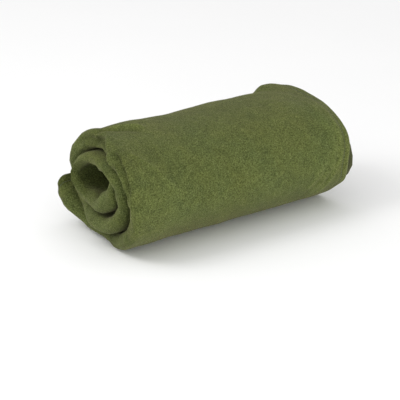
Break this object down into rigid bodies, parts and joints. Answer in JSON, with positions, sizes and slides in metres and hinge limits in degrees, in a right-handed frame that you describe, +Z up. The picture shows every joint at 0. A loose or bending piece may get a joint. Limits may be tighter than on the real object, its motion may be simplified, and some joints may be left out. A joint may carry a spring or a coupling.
{
  "type": "camp blanket",
  "caption": "Rolled camp blanket: one hemmed sheet of olive fleece, folded to a narrow stack and rolled up on its side.",
  "frame": {"origin": "bottom centre of the roll's box, on the surface that it lies on", "axes": "+X along the roll, from the folded end to the hemmed end; +Y to the back, where the cloth's outer end lies; +Z up"},
  "size_m": [0.375, 0.2244, 0.164],
  "materials": {
    "fleece": "matte",
    "thread": "satin"
  },
  "bodies": {
    "root": {"fleece_sheet": "fleece", "side_hem_thread_a": "thread", "side_hem_thread_b": "thread", "end_hem_thread_a": "thread", "end_hem_thread_b": "thread"}
  },
  "joints": []
}
